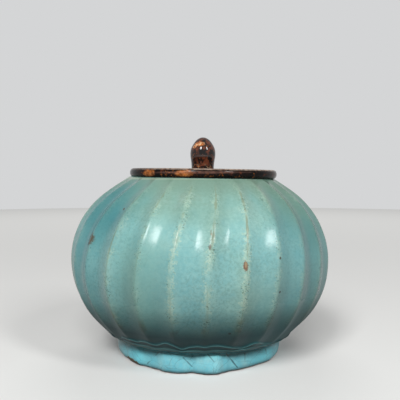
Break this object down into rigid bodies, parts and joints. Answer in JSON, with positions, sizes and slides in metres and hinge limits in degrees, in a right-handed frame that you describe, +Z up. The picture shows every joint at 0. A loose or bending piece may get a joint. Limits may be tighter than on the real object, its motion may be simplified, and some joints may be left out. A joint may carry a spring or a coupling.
{
  "type": "lidded jar",
  "caption": "Squat fluted stoneware jar with a blue-green celadon glaze on a low lobed foot ring, closed by a thin lacquered lid that lifts off by an egg-shaped knob.",
  "frame": {"origin": "centre of the plane that the foot stands on, under the middle of the body", "axes": "+Z up through the knob, the front of the jar faces -Y, +X is to the viewer's right"},
  "size_m": [0.1806, 0.1808, 0.1516],
  "materials": {
    "celadon_glaze": "glossy blue-green celadon glaze over stoneware, thin and pale on the ridges",
    "foot_glaze": "glossy brighter blue celadon glaze with a fine crackle, bare where it stands",
    "lid_lacquer": "polished dark brown lacquer with amber mottling, over turned wood",
    "knob_lacquer": "polished red-brown mottled lacquer, over turned wood"
  },
  "bodies": {
    "jar": {"jar_body": "celadon_glaze", "foot_ring": "foot_glaze"},
    "lid": {"lid_plate": "lid_lacquer", "lid_locating_ring": "lid_lacquer", "lid_knob": "knob_lacquer"}
  },
  "joints": [
    {"name": "lid_lift", "type": "slide", "parent": "jar", "child": "lid", "axis": [0, 0, 1], "range_m": [0, 0.06]}
  ]
}
